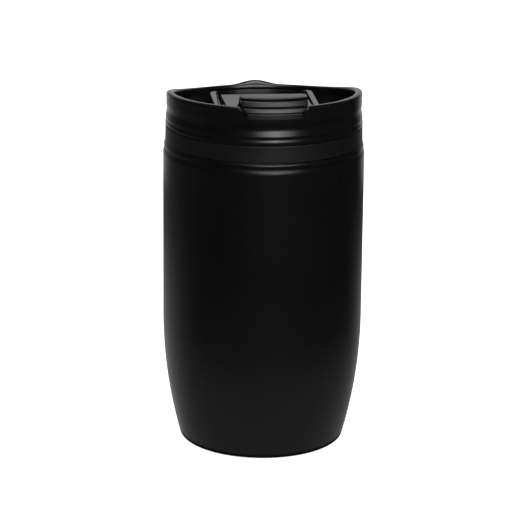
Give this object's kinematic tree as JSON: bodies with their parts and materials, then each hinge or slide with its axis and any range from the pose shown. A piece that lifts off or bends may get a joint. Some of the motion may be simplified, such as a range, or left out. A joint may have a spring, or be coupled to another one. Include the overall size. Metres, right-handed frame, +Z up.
{
  "type": "insulated tumbler with lid",
  "caption": "double-wall steel travel tumbler with a screw lid, a sloping rim and a flip-up thumb lever that seals the drinking spout",
  "frame": {"origin": "centre of the foot pad's underside, on the table", "axes": "+Z up along the tumbler's axis, -Y towards the thumb tab and drinking side, +X to the right of someone facing the tab"},
  "size_m": [0.085, 0.0871, 0.1579],
  "materials": {
    "shell_paint": "black powder coat, fine satin grain",
    "steel": "stainless steel, brushed by turning",
    "collar_plastic": "black polypropylene, fine etched texture",
    "lid_plastic": "black polypropylene, smooth moulding with a soft shine",
    "lever_plastic": "black polypropylene, fine matt texture",
    "silicone": "dark grey silicone rubber, matt"
  },
  "bodies": {
    "cup": {"outer_shell": "shell_paint", "inner_liner": "steel", "collar_ring": "collar_plastic", "collar_seal": "silicone", "base_plate": "steel", "foot_pad": "silicone"},
    "gasket": {"lid_gasket": "silicone"},
    "lid": {"lid_shell": "lid_plastic", "lid_body": "lid_plastic", "hinge_pin": "steel"},
    "lever": {"lever_cover": "lever_plastic", "lever_carrier": "lever_plastic", "drink_stopper": "silicone", "vent_stopper": "silicone"}
  },
  "joints": [
    {"name": "lid_rise", "type": "slide", "parent": "cup", "child": "gasket", "axis": [0, 0, 1], "range_m": [0, 0.006]},
    {"name": "lid_turn", "type": "hinge", "parent": "gasket", "child": "lid", "pos_m": [0, 0, 0.1378], "axis": [0, 0, 1], "range_deg": [0, 540]},
    {"name": "lever_flip", "type": "hinge", "parent": "lid", "child": "lever", "pos_m": [0, 0.0075, 0.1431], "axis": [-1, 0, 0], "range_deg": [0, 155]}
  ],
  "couplings": [
    {"joint": "lid_rise", "follows": "lid_turn", "m_per_rad": 0.00063661}
  ]
}
